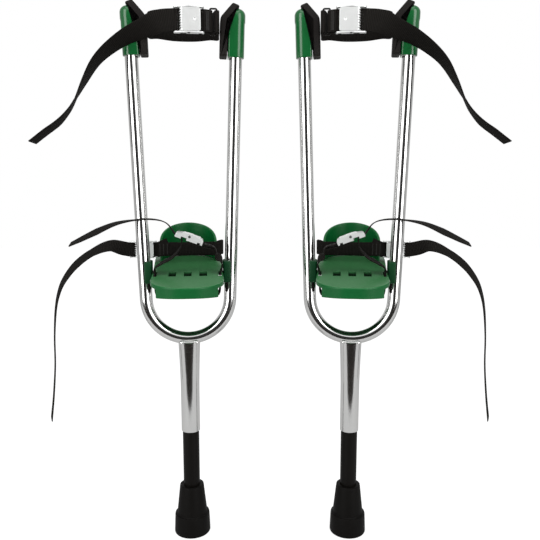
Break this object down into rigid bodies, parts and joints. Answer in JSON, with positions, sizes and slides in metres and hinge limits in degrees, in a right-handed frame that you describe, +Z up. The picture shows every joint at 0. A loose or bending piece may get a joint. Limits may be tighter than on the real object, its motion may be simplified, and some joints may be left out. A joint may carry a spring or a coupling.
{
  "type": "peg stilts",
  "caption": "Pair of leg-worn peg stilts: chromed U frame over a rubber-footed peg, tipped foot plate with heel cup, padded tops and webbing straps with cam buckles.",
  "frame": {"origin": "on the ground midway between the two stilts, under the middle of their depth", "axes": "+Z up, +X to the right-hand stilt in the picture, -Y to the toes and the camera"},
  "size_m": [0.6994, 0.2081, 0.8005],
  "materials": {
    "chrome": "bright chrome plate on steel tube",
    "black_paint": "satin black paint on tube",
    "rubber": "moulded black rubber",
    "green_plastic": "moulded, soft gloss",
    "bracket_plastic": "moulded, soft gloss",
    "foam": "closed-cell foam, matt",
    "webbing": "ribbed woven webbing",
    "ring": "black coated wire",
    "zinc": "bright zinc plate"
  },
  "bodies": {
    "left_stilt": {"left_u_frame": "chrome", "left_peg_sleeve": "chrome", "left_peg_tube": "black_paint", "left_peg_screw": "zinc", "left_rubber_foot": "rubber", "left_outer_cap": "green_plastic", "left_inner_cap": "green_plastic", "left_outer_pad": "foam", "left_inner_pad": "foam", "left_foot_plate": "green_plastic", "left_heel_cup": "green_plastic", "left_outer_bracket": "bracket_plastic", "left_inner_bracket": "bracket_plastic", "left_calf_strap": "webbing", "left_calf_anchor_strap": "webbing", "left_calf_tail": "webbing", "left_calf_ring": "ring", "left_calf_buckle": "zinc", "left_calf_pin": "zinc", "left_toe_strap": "webbing", "left_toe_tail": "webbing", "left_toe_buckle": "zinc", "left_toe_pin": "zinc", "left_ankle_strap": "webbing", "left_ankle_tail": "webbing", "left_ankle_buckle": "zinc", "left_ankle_pin": "zinc"},
    "left_calf_lever": {"left_calf_lever": "zinc"},
    "left_toe_lever": {"left_toe_lever": "zinc"},
    "left_ankle_lever": {"left_ankle_lever": "zinc"},
    "right_stilt": {"right_u_frame": "chrome", "right_peg_sleeve": "chrome", "right_peg_tube": "black_paint", "right_peg_screw": "zinc", "right_rubber_foot": "rubber", "right_outer_cap": "green_plastic", "right_inner_cap": "green_plastic", "right_outer_pad": "foam", "right_inner_pad": "foam", "right_foot_plate": "green_plastic", "right_heel_cup": "green_plastic", "right_outer_bracket": "bracket_plastic", "right_inner_bracket": "bracket_plastic", "right_calf_strap": "webbing", "right_calf_anchor_strap": "webbing", "right_calf_tail": "webbing", "right_calf_ring": "ring", "right_calf_buckle": "zinc", "right_calf_pin": "zinc", "right_toe_strap": "webbing", "right_toe_tail": "webbing", "right_toe_buckle": "zinc", "right_toe_pin": "zinc", "right_ankle_strap": "webbing", "right_ankle_tail": "webbing", "right_ankle_buckle": "zinc", "right_ankle_pin": "zinc"},
    "right_calf_lever": {"right_calf_lever": "zinc"},
    "right_toe_lever": {"right_toe_lever": "zinc"},
    "right_ankle_lever": {"right_ankle_lever": "zinc"}
  },
  "joints": [
    {"name": "left_calf_lever_pivot", "type": "hinge", "parent": "left_stilt", "child": "left_calf_lever", "pos_m": [-0.1113, -0.04837, 0.769], "axis": [0, 0, 1], "range_deg": [0, 15], "stiffness_Nm_per_rad": 0.06, "springref_deg": -17.19},
    {"name": "left_toe_lever_pivot", "type": "hinge", "parent": "left_stilt", "child": "left_toe_lever", "pos_m": [-0.11789, -0.02775, 0.4707], "axis": [-0.1115, 0.9938, 0], "range_deg": [0, 15], "stiffness_Nm_per_rad": 0.06, "springref_deg": -17.19},
    {"name": "left_ankle_lever_pivot", "type": "hinge", "parent": "left_stilt", "child": "left_ankle_lever", "pos_m": [-0.19797, 0.02442, 0.4455], "axis": [0, 0, 1], "range_deg": [0, 15], "stiffness_Nm_per_rad": 0.06, "springref_deg": -17.19},
    {"name": "right_calf_lever_pivot", "type": "hinge", "parent": "right_stilt", "child": "right_calf_lever", "pos_m": [0.1113, -0.04837, 0.769], "axis": [0, 0, -1], "range_deg": [0, 15], "stiffness_Nm_per_rad": 0.06, "springref_deg": -17.19},
    {"name": "right_toe_lever_pivot", "type": "hinge", "parent": "right_stilt", "child": "right_toe_lever", "pos_m": [0.11789, -0.02775, 0.4707], "axis": [-0.1115, -0.9938, 0], "range_deg": [0, 15], "stiffness_Nm_per_rad": 0.06, "springref_deg": -17.19},
    {"name": "right_ankle_lever_pivot", "type": "hinge", "parent": "right_stilt", "child": "right_ankle_lever", "pos_m": [0.19797, 0.02442, 0.4455], "axis": [0, 0, -1], "range_deg": [0, 15], "stiffness_Nm_per_rad": 0.06, "springref_deg": -17.19},
    {"name": "right_stilt_slide", "type": "slide", "parent": "left_stilt", "child": "right_stilt", "axis": [1, 0, 0], "range_m": [-0.03, 0.25]}
  ]
}
